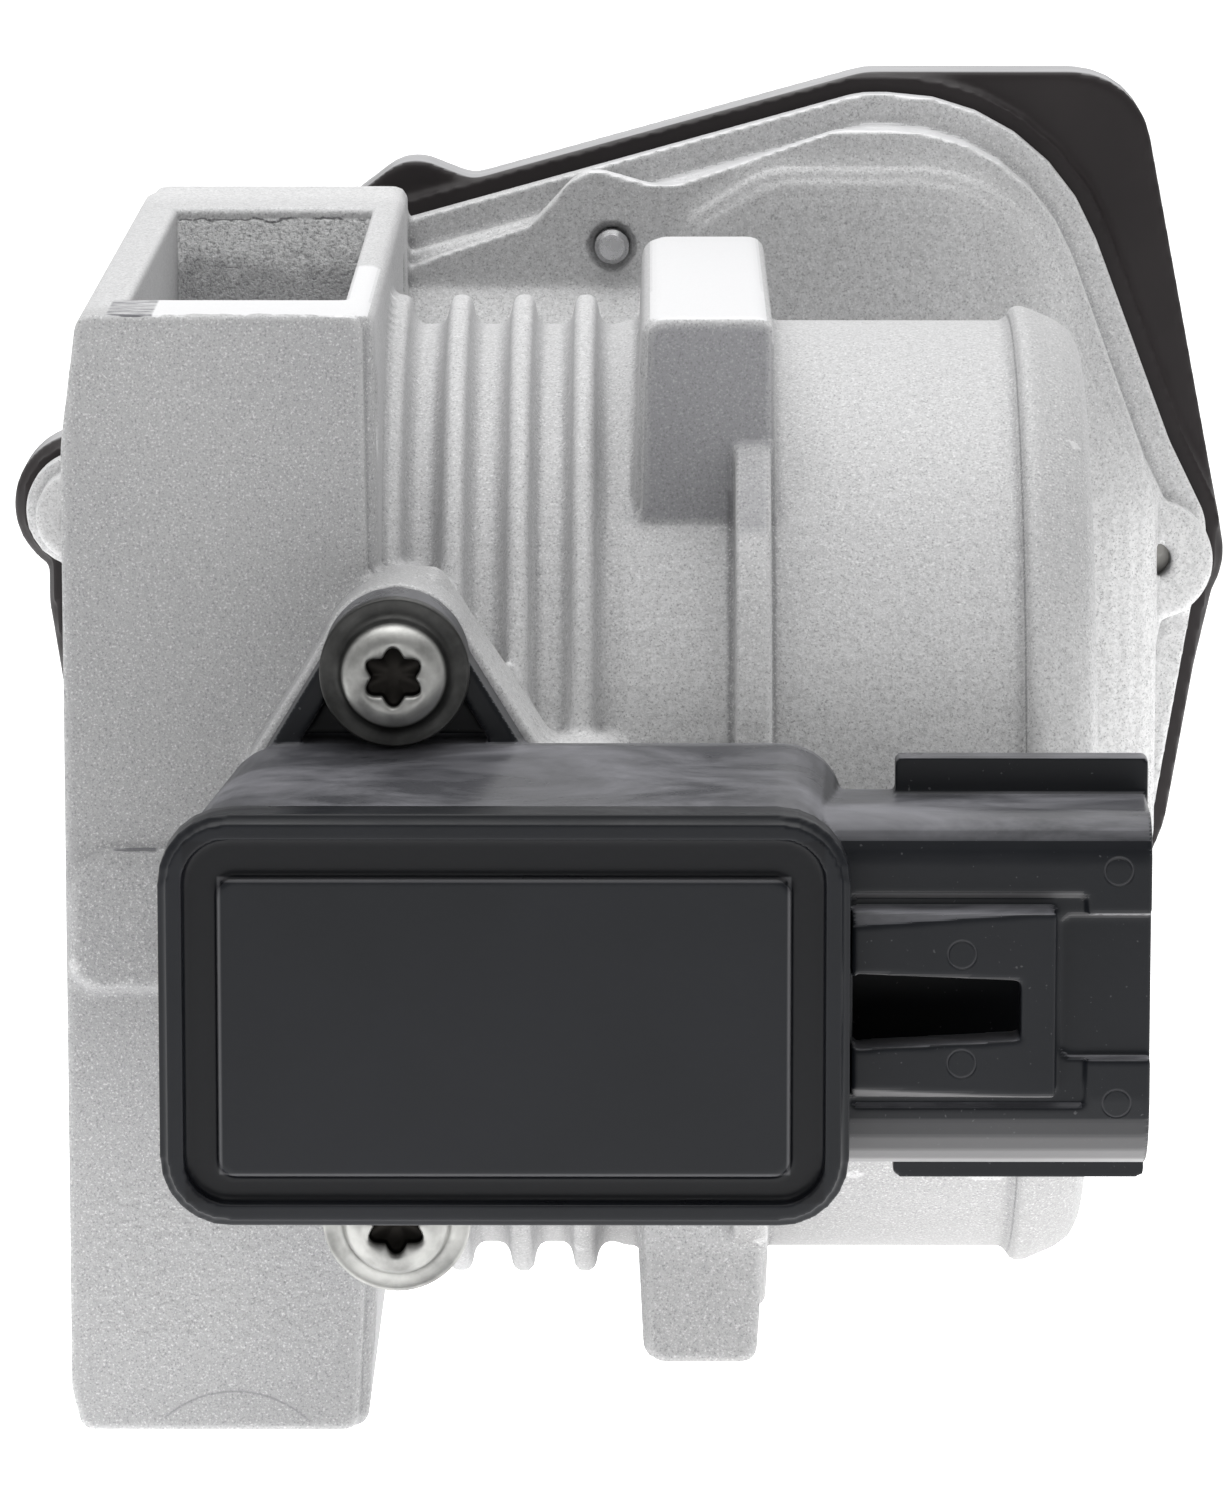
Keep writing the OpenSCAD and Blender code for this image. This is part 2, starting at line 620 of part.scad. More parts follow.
module motor_bracket() color("gray") {
    difference() {
        slab(motor_y - 1.5, motor_y) {
            translate(motor_p) circle(d = 32);
            polygon(rounded(box_corners(motor_x - 5, motor_z - 23, motor_x + 5,
                motor_z + 1, 3)));
        }
        ycyl(8.1, motor_y - 3, motor_y + 1, motor_p);
        for (s = [-1, 1]) ycyl(3.2, motor_y - 3, motor_y + 1, motor_p + s * [0, 10]);
        ycyl(3.2, motor_y - 3, motor_y + 1, motor_p - [0, 20]);
        ycyl(18, motor_y - 3, motor_y + 1, idler_p);
    }
}
module motor_screws() color("dimgray") {
    for (s = [-1, 1]) {
        ycyl(3, motor_y - 1.5, motor_y + 3, motor_p + s * [0, 10]);
        ycyl(5.6, motor_y - 3.5, motor_y - 1.5, motor_p + s * [0, 10]);
    }
}

// ---- Cover ----
hump_d = motor_d + 6;
socket_x = 44;
socket_z = 8;
module cover_outline(d = 0) {
    polygon(rounded(inset(cover_corners, d)));
    translate(left_boss) circle(d = max(2, 12.8 - 2 * d));
    translate(right_boss) circle(d = max(2, 13.2 - 2 * d));
}
module socket_outline(d = 0) {
    polygon(rounded(box_corners(socket_x - 12 + d, socket_z - 7 + d, socket_x + 12 - d,
        socket_z + 7 - d, 3)));
}
module gear_cover() color("dimgray") {
    difference() {
        union() {
            slab(seat_y, roof_y - 1.6) cover_outline();
            slab(roof_y - 1.7, cover_top_y) cover_outline(2);
            ycyl(hump_d, roof_y, motor_end_y + 2.4, motor_p);
            slab(roof_y, 84) socket_outline();
        }
        // The edge outside the casting's flange is set back a little.
        slab(seat_y - 1, seat_y + 0.9) difference() {
            cover_outline(-2);
            polygon(rounded(inset(rim_corners, -1.4)));
            circles([left_boss], 11.4);
            circles([right_boss], 11.8);
        }
        difference() {
            slab(seat_y - 1, roof_y) cover_outline(10.6);
            slab(seat_y - 2, roof_y + 1) circles(bosses, 9);
        }
        ycyl(motor_d + 0.4, seat_y - 1, motor_end_y + 0.2, motor_p);
        slab(cover_top_y + 3, 85) socket_outline(2);
        for (p = bosses) {
            ycyl(4, seat_y - 1, cover_top_y + 1, p);
            ycyl(8, 60, cover_top_y + 1, p);
        }
        for (s = [-1, 1]) block([socket_x + s * 4 - 0.5, roof_y - 1, socket_z - 1.05],
            [socket_x + s * 4 + 0.5, 70, socket_z + 1.05]);
    }
}
module cover_gasket() color("black") {
    slab(seat_y - 0.88, seat_y) seal_track();
}
module cover_screws() color("silver") {
    for (p = bosses) difference() {
        union() {
            ycyl(3.2, seat_y - 2.4, 60, p);
            ycyl(7.4, 60, 62.6, p);
        }
        slab(61, 63, p) star(2.1);
    }
}
module motor_terminals() color("goldenrod") {
    for (s = [-1, 1]) block([socket_x + s * 4 - 0.4, roof_y - 2, socket_z - 1],
        [socket_x + s * 4 + 0.4, 80, socket_z + 1]);
}

// ---- Sensor ----
// Six-lobed screw drive.
module star(r) {
    for (i = [0:5]) rotate(i * 60) translate([r * 0.72, 0]) circle(r = r * 0.3);
    circle(r = r * 0.74);
}
lid_x = 34.45;
lid_z = -5.25;
wall = 2;
// Sensor body: outlines at three depths, each as [low x, low z, high x, high z].
body_back = [14, -18.1, 60, 11.7];
body_ear = [12.9, -18.1, 59.9, 12.4];
body_front = [lid_x - lid_w / 2 + 0.8, -20, lid_x + lid_w / 2 - 0.8, 9.9];
module body_outline(k, y, d) {
    slab(y, y + 0.1)
        polygon(rounded(box_corners(k[0] + d, k[1] + d, k[2] - d, k[3] - d, 4.6 - d)));
}
module sensor_shell(d) {
    hull() {
        body_outline(body_back, pad_y - 0.1 - 1.5 * d, d);
        body_outline(body_ear, ear_y, d);
        body_outline(body_front, lid_y - (d > 0 ? 1 : 0), d);
    }
}
conn_x0 = 58;
conn_x1 = 82.7;
conn_y0 = -65;
conn_y1 = -50;
conn_z0 = -18.2;
conn_z1 = 9.2;
// The five blades stand in two groups, three above and two below the latch.
pin_places = [5.2, 2.2, -0.8, -10.9, -13.9];
blade_y = -57;
module connector_section(d) {
    polygon(rounded([[conn_y0 + d, conn_z0 + d, 6 - d], [conn_y1 - d, conn_z0 + d, 3 - d],
        [conn_y1 - d, conn_z1 - d, 3 - d], [conn_y0 + d, conn_z1 - d, 3.4 - d]]));
}
// Raised frame round the latch window, chamfered above and below.
frame_y = conn_y0 - 1.6;
module latch_frame() {
    hull() {
        slab(frame_y, frame_y + 0.1) polygon([[60.25, -11], [70.4, -11], [75.5, -11.7],
            [75.5, 2.3], [70.4, 1.3], [60.25, 1.2]]);
        slab(frame_y + 0.9, conn_y0 + 1) polygon(rounded(box_corners(60.25, -11.8, 75.5, 2.4, 0.2)));
    }
}
module upper_ear() {
    circles([[shaft_x, screw_up_z]], 11.2);
    polygon([[14.4, 9], [37.5, 9], [30.5, 20.5], [21.4, 20.5]]);
}
module sensor_housing() color("darkslategray") {
    difference() {
        union() {
            sensor_shell(0);
            slab(ear_y, pad_y) {
                upper_ear();
                circles([[shaft_x, screw_low_z]], 11.2);
                polygon([[shaft_x - 5.6, screw_low_z], [shaft_x + 5.6, screw_low_z],
                    [shaft_x + 5.6, -17], [shaft_x - 5.6, -17]]);
            }
            across(conn_x0, conn_x1) connector_section(0);
            slab(-55.2, -53) polygon(rounded(box_corners(63.8, -20.4, 82.9, 12.1, 0.5)));
            latch_frame();
        }
        difference() {
            sensor_shell(wall);
            block([conn_x0 - 2, -70, -30], [conn_x1, -40, 30]);
        }
        across(conn_x0 + 2, conn_x1 + 1) connector_section(wall);
        // Latch window.
        slab(conn_y0 - 2, conn_y0 + wall + 1)
            polygon([[60.4, -8], [72.9, -7.3], [72.9, -2.8], [60.4, -2.3]]);
        // Shallow recesses beside the frame and at the mouth.
        difference() {
            slab(conn_y0 - 1, conn_y0 + 0.45)
                polygon(rounded(box_corners(60.25, -12.8, 77.9, 3.4, 0.6)));
            slab(conn_y0 - 2, conn_y0 + 2)
                polygon(rounded(box_corners(60, -11.8, 75.5, 2.4, 0.5)));
        }
        slab(conn_y0 - 1, conn_y0 + 0.8)
            polygon(rounded(box_corners(75.7, -9.1, conn_x1 + 1, 1.9, 1)));
        // Hollows beside the upper screw.
        slab(ear_y - 1, pad_y - 1.4) difference() {
            polygon([[18.6, 12.5], [33.2, 12.5], [29.5, 18.6], [22.3, 18.6]]);
            circles([[shaft_x, screw_up_z]], 9.8);
        }
        for (z = [screw_up_z, screw_low_z]) ycyl(7.02, ear_y - 1, pad_y + 1, [shaft_x, z]);
        ycyl(11.2, -56, pad_y + 1, shaft_p);
        yring(19.6, 16, pad_y - 1.7, pad_y + 1, shaft_p);
        for (z = pin_places) block([conn_x0 - 4, blade_y - 0.5, z - 0.35],
            [conn_x0 + 8, blade_y + 0.5, z + 0.35]);
    }
}
module sensor_lid() color("black") {
    x0 = lid_x - lid_w / 2;
    x1 = lid_x + lid_w / 2;
    z0 = lid_z - lid_h / 2;
    z1 = lid_z + lid_h / 2;
    difference() {
        union() {
            slab(lid_front_y + 0.6, lid_y) polygon(rounded(box_corners(x0, z0, x1, z1, 5.2)));
            slab(lid_front_y, lid_y) polygon(rounded(box_corners(x0 + 0.6, z0 + 0.6, x1 - 0.6,
                z1 - 0.6, 4.6)));
        }
        slab(lid_front_y - 1, lid_front_y + 1.2)
            polygon(rounded(box_corners(x0 + 1.8, z0 + 1.8, x1 - 1.8, z1 - 1.8, 3.4)));
    }
    slab(lid_front_y + 0.3, lid_y)
        polygon(rounded(box_corners(x0 + 4.4, z0 + 3.8, x1 - 4.4, z1 - 4.8, 1.2)));
}
module sensor_rotor() color("ivory") {
    difference() {
        union() {
            ycyl(11, -58.4, pad_y - 0.6, shaft_p);
            ycyl(17, -61, -57.4, shaft_p);
        }
        difference() {
            ycyl(6.04, -57.2, -40, shaft_p);
            shaft_turn() for (s = [-1, 1])
                block([min(s * 2.42, s * 6), -58, -6], [max(s * 2.42, s * 6), -51.2, 6]);
        }
        ycyl(8.3, -51.2, -40, shaft_p);
        yring(15, 9, -62, -59, shaft_p);
    }
}
module sensor_magnet() color("gray") {
    yring(14.9, 9.1, -61, -59.1, shaft_p);
}
module sensor_board() color("green") {
    difference() {
        block([16, -63.8, -17.1], [54.5, -62.2, 7.4]);
        for (z = pin_places) block([51.6, -65, z - 0.36], [52.4, -61, z + 0.36]);
    }
}
module sensor_terminals() color("gold") {
    for (z = pin_places) {
        block([51.65, blade_y - 0.45, z - 0.3], [78, blade_y + 0.45, z + 0.3]);
        block([51.65, -64.6, z - 0.3], [52.35, blade_y, z + 0.3]);
    }
}
module sensor_seal_ring() color("black") {
    translate([shaft_x, pad_y - 0.85, 0]) rotate([-90, 0, 0]) rotate_extrude()
        translate([8.9, 0]) circle(d = 1.65, $fn = 24);
}
module sensor_sleeves() color("silver") {
    for (z = [screw_up_z, screw_low_z])
        yring(7, 5.2, ear_y - 0.05, pad_y, [shaft_x, z]);
}
module sensor_screws() color("gray") {
    for (z = [screw_up_z, screw_low_z]) let (p = [shaft_x, z]) {
        ycyl(4.2, ear_y - 1, -35, p);
        difference() {
            union() {
                ycyl(11.4, ear_y - 1.4, ear_y - 0.05, p);
                ycone(7.6, 8.4, ear_y - 3.9, ear_y - 1.3, p);
            }
            slab(ear_y - 5, ear_y - 2, p) star(2.3);
        }
    }
}

throttle_housing();
gear_cover();
cover_gasket();
cover_screws();
throttle_shaft();
throttle_plate();
plate_screws();
needle_bearing_shell();
needle_rollers();
ball_bearing_outer_race();
ball_bearing_inner_race();
ball_bearing_balls();
front_shaft_seal();
rear_shaft_seal();
sector_gear();
sector_nut();
return_spring();
spring_bush();
idler_gear();
idler_pin();
blanking_plug();
stop_screw();
motor_pinion();
motor_shaft();
motor_armature();
motor_windings();
motor_commutator();
motor_case();
motor_magnets();
motor_end_cap();
motor_brushes();
motor_bracket();
motor_screws();
motor_terminals();
sensor_housing();
sensor_lid();
sensor_rotor();
sensor_magnet();
sensor_board();
sensor_terminals();
sensor_seal_ring();
sensor_sleeves();
sensor_screws();
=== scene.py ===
"""Looks of the throttle body: skins, materials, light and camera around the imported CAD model."""
import bpy
import bmesh
import json
import math
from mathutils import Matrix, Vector


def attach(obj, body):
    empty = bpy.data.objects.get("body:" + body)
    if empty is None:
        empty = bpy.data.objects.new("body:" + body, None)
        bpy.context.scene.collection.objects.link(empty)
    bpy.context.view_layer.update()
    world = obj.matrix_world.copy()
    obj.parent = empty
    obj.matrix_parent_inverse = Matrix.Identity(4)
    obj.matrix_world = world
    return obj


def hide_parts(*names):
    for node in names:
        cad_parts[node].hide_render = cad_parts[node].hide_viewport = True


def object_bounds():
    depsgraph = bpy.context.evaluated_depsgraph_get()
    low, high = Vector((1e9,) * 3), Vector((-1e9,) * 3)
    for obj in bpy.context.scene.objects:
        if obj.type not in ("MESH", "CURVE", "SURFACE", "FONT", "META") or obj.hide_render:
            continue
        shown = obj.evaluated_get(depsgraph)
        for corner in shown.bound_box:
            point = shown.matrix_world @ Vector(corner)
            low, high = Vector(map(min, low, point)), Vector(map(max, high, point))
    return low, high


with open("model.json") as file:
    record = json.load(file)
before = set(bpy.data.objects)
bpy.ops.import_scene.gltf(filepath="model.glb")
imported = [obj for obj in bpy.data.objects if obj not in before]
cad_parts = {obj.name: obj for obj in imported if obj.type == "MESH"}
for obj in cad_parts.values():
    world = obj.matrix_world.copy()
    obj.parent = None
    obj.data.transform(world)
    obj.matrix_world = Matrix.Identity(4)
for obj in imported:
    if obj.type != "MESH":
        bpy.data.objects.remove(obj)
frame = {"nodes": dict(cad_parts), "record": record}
cad_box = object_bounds()
nodes = frame["nodes"]
MM = 0.001

# Places on the CAD object, in millimetres.
FLOOR_GAP = 0.5                            # between the object's lowest point and the floor
SCREW_X = 25.9                             # sensor screws: centre line and two heights
SCREW_Z = (18.2, -24.2)
BEAD_X = 74.5                              # where the hose bead begins
OUTSIDE_R2 = 1300.0                        # square of a radius between bore and outside
SAW_Z = 41.5                               # above this, faces that look up are flange or lug tops
SAW_Y = (-41.45, -32.4)                    # strip in front of the flange's pocket
SCORES_X = (3.6, 7.1)                      # saw scores at the left end of that strip
POCKET_Z = 43.0                            # top of the broken back wall of that pocket
BAR_SIDES = ((51.3, 51.7, 28.5), (54.8, 55.1, 40))     # beside the bar, where shadow is painted: X, X, highest Z
CONNECTOR_Y = (-70, -64)                   # front faces of the connector
EJECTORS = ((80.2, 5.2), (80.2, -12.5), (68.5, -0.8), (68.5, -9.1))    # X and Z on them
EJECTOR_R = 1.05
SLIT_Z = 3.5                               # upper edge of the slit beside the latch frame
LID_PANEL = ((13.2, 55.7), (-17.05, 5.55))             # X and Z limits
LID_CHANNEL = ((10.7, 58.2), (-18.95, 8.45))
LID_HIGHLIGHT_WIDTH = 0.25                            # width of the painted highlight inside the panel's edge
COVER_TOP_Y = (53.1, 53.6)                 # behind this the cover's rim has dust and painted light on top
SCREW_CROWN_Y = (-54.3, -55.2)             # from the foot of a screw's crown to its worn part
SCREW_DRIVE_Y = (-55.4, -54.9)             # from the rim of a screw's drive to its dark inside

# Colours of the casting, painted light and painted shade among them.
CAST_DULL = (0.385, 0.385, 0.39)
CAST_GREY = (0.43, 0.43, 0.432)
# Painted light: the next two greys; painted shade: the two after them.
CAST_LIT_PALE = (0.57, 0.57, 0.575)
CAST_LIT_BRIGHT = (0.76, 0.76, 0.76)
CAST_HOSE_END_SHADE = (0.22, 0.22, 0.22)
CAST_SHADE_GREY = (0.26, 0.255, 0.25)
CAST_PITS = (0.30, 0.30, 0.305)
CAST_GRAIN = (0.56, 0.56, 0.56)
# Painted shade on the lug's face, then a painted highlight for outward edges.
CAST_LUG_FACE_SHADE = (0.25, 0.25, 0.265)
CAST_EDGE_HIGHLIGHT = (0.72, 0.72, 0.72)
FLECK_PALE = (0.80, 0.80, 0.80)
FLECK_DARK = (0.16, 0.16, 0.165)
WALL_GREY = (0.48, 0.48, 0.485)
WALL_BRIGHT = (0.90, 0.90, 0.90)
WALL_DARK = (0.15, 0.15, 0.155)
SAWN = (0.70, 0.70, 0.71)
SCORED = (0.42, 0.42, 0.43)
SCORE_DARK = (0.10, 0.10, 0.11)
ARC_GREY = (0.16, 0.16, 0.17)
WHITE = (1.0, 1.0, 1.0)

# Colours of marks, painted light and painted shade on the plastics and screws, and two dark greys
# that the casting shares for painted shade and a crack.
SHADE_HIGHLIGHT_AND_SPECK_GREY = (0.10, 0.10, 0.105)
CREASE_SHADE_AND_CRACK_BLACK = (0.08, 0.08, 0.085)
SMUDGE_AND_SHEEN = (0.17, 0.17, 0.185)
UNDERSIDE_LIT = (0.12, 0.118, 0.12)
SLIT_EDGE = (0.12, 0.12, 0.125)
EJECTOR_GREY = (0.05, 0.05, 0.055)
FLASH_GREY = (0.30, 0.30, 0.31)
CHANNEL_SHADE_BLACK = (0.002, 0.002, 0.003)
DUST_AND_TOP_LIGHT = (0.42, 0.42, 0.43)
ZINC = (0.065, 0.065, 0.063)
ZINC_DARK = (0.036, 0.036, 0.035)
ZINC_WORN = (0.42, 0.42, 0.405)
DRIVE_INSIDE_DARK = (0.02, 0.018, 0.016)


def mm(x, y, z):
    return Vector((x * MM, y * MM, z * MM))


# ---------------------------------------------------------------- camera, floor and light
def add_camera():
    cam = bpy.data.cameras.new("camera")
    cam.lens = 194.0
    cam.sensor_width = 36.0
    cam.clip_start = 0.05
    cam.clip_end = 20.0
    obj = bpy.data.objects.new("camera", cam)
    obj.location = mm(45.2, -656.0, 120.4)
    obj.rotation_euler = (math.radians(90 - 10.17), 0, math.radians(0.24))
    bpy.context.scene.collection.objects.link(obj)
    bpy.context.scene.camera = obj


def add_floor(low_z):
    bpy.ops.mesh.primitive_plane_add(size=12, location=(0, 0, low_z - FLOOR_GAP * MM))
    floor = bpy.context.object
    floor.name = "floor"
    mat = bpy.data.materials.new("floor_white")
    mat.use_nodes = True
    shader = mat.node_tree.nodes["Principled BSDF"]
    shader.inputs["Base Color"].default_value = (0.95, 0.95, 0.955, 1)
    shader.inputs["Roughness"].default_value = 0.9
    shader.inputs["Emission Color"].default_value = (1, 1, 1, 1)
    # A light table: it glows most under the object and fades outward.
    tree = mat.node_tree
    away = tree.nodes.new("ShaderNodeVectorMath")
    away.operation = "DISTANCE"
    away.inputs[1].default_value = mm(50, -5, 0)
    tree.links.new(tree.nodes.new("ShaderNodeTexCoord").outputs["Object"], away.inputs[0])
    glow = tree.nodes.new("ShaderNodeMapRange")
    glow.interpolation_type = "SMOOTHSTEP"
    tree.links.new(away.outputs["Value"], glow.inputs["Value"])
    glow.inputs["From Min"].default_value = 70 * MM
    glow.inputs["From Max"].default_value = 200 * MM
    glow.inputs["To Min"].default_value = 1.4
    glow.inputs["To Max"].default_value = 0.4
    tree.links.new(glow.outputs["Result"], shader.inputs["Emission Strength"])
    floor.data.materials.append(mat)


def add_area(name, place, target, size, watts):
    light = bpy.data.lights.new(name, "AREA")
    light.shape = "RECTANGLE"
    light.size, light.size_y = size
    light.energy = watts
    obj = bpy.data.objects.new(name, light)
    obj.location = place
    obj.rotation_euler = (Vector(target) - Vector(place)).to_track_quat("-Z", "Y").to_euler()
    bpy.context.scene.collection.objects.link(obj)


def add_world():
    """A white surround to look at; its light is brightest above and behind, softest in front."""
    world = bpy.data.worlds.new("studio")
    world.use_nodes = True
    tree = world.node_tree
    back = tree.nodes["Background"]
    split = tree.nodes.new("ShaderNodeSeparateXYZ")
    tree.links.new(tree.nodes.new("ShaderNodeTexCoord").outputs["Generated"], split.inputs[0])
    total = None
    for axis, first, low, high in (("X", -1.0, 0.03, -0.03), ("Y", -0.8, 0.15, 0.95),
                                   ("Z", 0.0, 0.0, 0.6)):
        span = tree.nodes.new("ShaderNodeMapRange")
        span.interpolation_type = "SMOOTHSTEP"
        tree.links.new(split.outputs[axis], span.inputs["Value"])
        span.inputs["From Min"].default_value = first
        span.inputs["To Min"].default_value = low
        span.inputs["To Max"].default_value = high
        if total is None:
            total = span.outputs["Result"]
        else:
            add = tree.nodes.new("ShaderNodeMath")
            tree.links.new(total, add.inputs[0])
            tree.links.new(span.outputs["Result"], add.inputs[1])
            total = add.outputs[0]
    seen = tree.nodes.new("ShaderNodeLightPath")
    pick = tree.nodes.new("ShaderNodeMix")
    tree.links.new(seen.outputs["Is Camera Ray"], pick.inputs["Factor"])
    tree.links.new(total, pick.inputs[2])
    pick.inputs[3].default_value = 1.0
    back.inputs["Color"].default_value = (1, 1, 1, 1)
    tree.links.new(pick.outputs[0], back.inputs["Strength"])
    bpy.context.scene.world = world


# ---------------------------------------------------------------- node helpers
class Graph:
    """A short way to write a material's nodes."""

    def __init__(self, name):
        self.mat = bpy.data.materials.new(name)
        self.mat.use_nodes = True
        self.tree = self.mat.node_tree
        self.shader = self.tree.nodes["Principled BSDF"]
        self.place = self.tree.nodes.new("ShaderNodeTexCoord").outputs["Object"]
        self.normal = None

    def node(self, kind, **values):
        n = self.tree.nodes.new(kind)
        for key, value in values.items():
            setattr(n, key, value)
        return n

    def link(self, source, target):
        self.tree.links.new(source, target)

    def feed(self, target, value):
        """Sets a socket to a constant, or links it to another node's output."""
        if isinstance(value, (int, float, tuple)):
            target.default_value = value
        else:
            self.link(value, target)

    def math(self, operation, a, b=0.0):
        n = self.node("ShaderNodeMath", operation=operation)
        self.feed(n.inputs[0], a)
        self.feed(n.inputs[1], b)
        return n.outputs[0]

    def noise(self, per_mm, detail=4.0, rough=0.55, place=None, distort=0.0):
        n = self.node("ShaderNodeTexNoise")
        self.link(place or self.place, n.inputs["Vector"])
        n.inputs["Scale"].default_value = per_mm / MM
        n.inputs["Detail"].default_value = detail
        n.inputs["Roughness"].default_value = rough
        n.inputs["Distortion"].default_value = distort
        return n.outputs["Fac"]

    def stretched(self, sx, sy, sz):
        """The place, scaled along each axis, for a noise that runs in streaks."""
        n = self.node("ShaderNodeMapping")
        self.link(self.place, n.inputs["Vector"])
        n.inputs["Scale"].default_value = (sx, sy, sz)
        return n.outputs[0]

    def span(self, value, low, high, a=0.0, b=1.0, smooth=False):
        """Runs from a to b while the value runs from low to high, and holds at both ends."""
        n = self.node("ShaderNodeMapRange", interpolation_type="SMOOTHSTEP" if smooth else "LINEAR")
        self.link(value, n.inputs["Value"])
        for key, v in (("From Min", low), ("From Max", high), ("To Min", a), ("To Max", b)):
            self.feed(n.inputs[key], v)
        return n.outputs["Result"]

    def mix(self, fac, a, b):
        """Colour a where the factor is 0 and colour b where it is 1."""
        n = self.node("ShaderNodeMix", data_type="RGBA")
        self.feed(n.inputs["Factor"], fac)
        self.feed(n.inputs[6], (*a, 1) if isinstance(a, tuple) else a)
        self.feed(n.inputs[7], (*b, 1) if isinstance(b, tuple) else b)
        return n.outputs[2]

    def bump(self, height, depth_mm, strength):
        """Adds one more layer of bumps to the surface."""
        n = self.node("ShaderNodeBump")
        n.inputs["Distance"].default_value = depth_mm * MM
        n.inputs["Strength"].default_value = strength
        self.link(height, n.inputs["Height"])
        if self.normal is not None:
            self.link(self.normal, n.inputs["Normal"])
        self.normal = n.outputs["Normal"]

    def facing(self, name):
        """One part of the face's normal: 1 where the face looks along +X, +Y or +Z."""
        n = self.node("ShaderNodeSeparateXYZ")
        self.link(self.node("ShaderNodeNewGeometry").outputs["True Normal"], n.inputs[0])
        return n.outputs[name]

    def where(self, name):
        """One coordinate of the shared frame in millimetres."""
        n = self.node("ShaderNodeSeparateXYZ")
        self.link(self.place, n.inputs[0])
        return self.math("MULTIPLY", n.outputs[name], 1000.0)

    def within(self, soft=0.3, **limits):
        """1 inside limits given as X=(low, high), Y=..., Z=... in millimetres."""
        total = None
        for name, (low, high) in limits.items():
            value = self.where(name)
            inside = self.math("MULTIPLY", self.span(value, low - soft, low + soft, smooth=True),
                               self.span(value, high - soft, high + soft, 1.0, 0.0, smooth=True))
            total = inside if total is None else self.math("MULTIPLY", total, inside)
        return total

    def from_point(self, x, z):
        """Distance in the X-Z plane from a point, in millimetres."""
        dx = self.math("SUBTRACT", self.where("X"), x)
        dz = self.math("SUBTRACT", self.where("Z"), z)
        return self.math("SQRT", self.math("ADD", self.math("MULTIPLY", dx, dx),
                                           self.math("MULTIPLY", dz, dz)))

    def ring(self, x, z, radius, width):
        """1 on a circle drawn in the X-Z plane, fading over the width on both sides."""
        off = self.math("ABSOLUTE", self.math("SUBTRACT", self.from_point(x, z), radius))
        return self.span(off, 0.0, width, 1.0, 0.0, smooth=True)

    def from_screw(self):
        """Distance in millimetres from the nearer sensor screw's centre line."""
        return self.math("MINIMUM", *(self.from_point(SCREW_X, z) for z in SCREW_Z))

    def times(self, *factors):
        total = factors[0]
        for f in factors[1:]:
            total = self.math("MULTIPLY", total, f)
        return total

    def plus(self, *terms):
        total = terms[0]
        for t in terms[1:]:
            total = self.math("ADD", total, t)
        return total

    def bend(self):
        """The mesh's Pointiness: 0.5 on flat faces, more on outward edges, less in corners."""
        return self.node("ShaderNodeNewGeometry").outputs["Pointiness"]

    def done(self, colour, rough, **fixed):
        """Connects the colour, roughness and bumps, sets what is fixed, and gives the material."""
        self.feed(self.shader.inputs["Base Color"], colour)
        self.feed(self.shader.inputs["Roughness"], rough)
        for key, value in fixed.items():
            self.shader.inputs[key.replace("_", " ")].default_value = value
        if self.normal is not None:
            self.link(self.normal, self.shader.inputs["Normal"])
        return self.mat


# ---------------------------------------------------------------- materials
def sawn_faces(g, ragged):
    """Where the saw cut: in front of the pocket, half of the strip on its right, the lug."""
    front = g.times(g.span(ragged, SAW_Y[0] - 0.15, SAW_Y[0] + 0.15),
                    g.span(g.where("Y"), SAW_Y[1] + 0.2, SAW_Y[1] - 0.2),
                    g.span(g.where("X"), SCORES_X[1] - 0.1, SCORES_X[1] + 0.1))
    right = g.times(g.span(g.where("X"), 21.0, 21.4), g.span(g.where("Y"), -9.0, -10.5))
    lug = g.span(g.where("X"), 39.0, 40.0)
    cut = g.times(g.span(g.facing("Z"), 0.75, 0.95),
                  g.span(g.where("Z"), SAW_Z - 0.2, SAW_Z + 0.2), g.plus(front, right, lug))
    return g.math("MINIMUM", cut, 1.0)


def cast_grey(g):
    """The casting's grey, with painted light behind the flange's front, above the sensor and towards
    the gearbox, and painted shade at the hose end, on downward faces and low on the lug.
    """
    colour = g.mix(g.span(g.noise(0.035, detail=3.0), 0.35, 0.65),
                   CAST_DULL, CAST_GREY)
    # Painted light: paler behind the flange's front.
    colour = g.mix(g.span(g.where("Y"), -41.0, -34.0, 0.0, 0.75, smooth=True), colour,
                   CAST_LIT_PALE)
    # Painted shade: darker towards the hose end.
    hose_end_shade = g.span(g.where("X"), 72.0, 77.0, 0.0, 0.28, smooth=True)
    colour = g.mix(hose_end_shade, colour, CAST_HOSE_END_SHADE)
    # Painted shade on downward faces.
    underside_shade = g.times(g.span(g.facing("Z"), -0.1, -0.7, 0.0, 0.5), g.span(g.where("X"), 28.0, 32.0))
    colour = g.mix(underside_shade, colour, CAST_SHADE_GREY)
    # Painted shade low on the lug.
    low_lug_shade = g.times(g.span(g.where("Z"), -30.0, -34.0, 0.0, 0.3), g.span(g.where("X"), 38.0, 42.0))
    colour = g.mix(low_lug_shade, colour, CAST_SHADE_GREY)
    # Painted light above the sensor and towards the gearbox.
    light_above_sensor = g.times(g.span(g.where("Z"), 26.0, 10.0, 0.0, 0.7, smooth=True),
                           g.span(g.where("X"), 26.0, 30.0), g.span(g.where("Z"), -20.0, -10.0))
    gearbox_fill_light = g.span(g.where("Y"), 36.0, 42.0, 0.0, 0.3)
    return g.mix(g.plus(light_above_sensor, gearbox_fill_light), colour, CAST_LIT_BRIGHT)


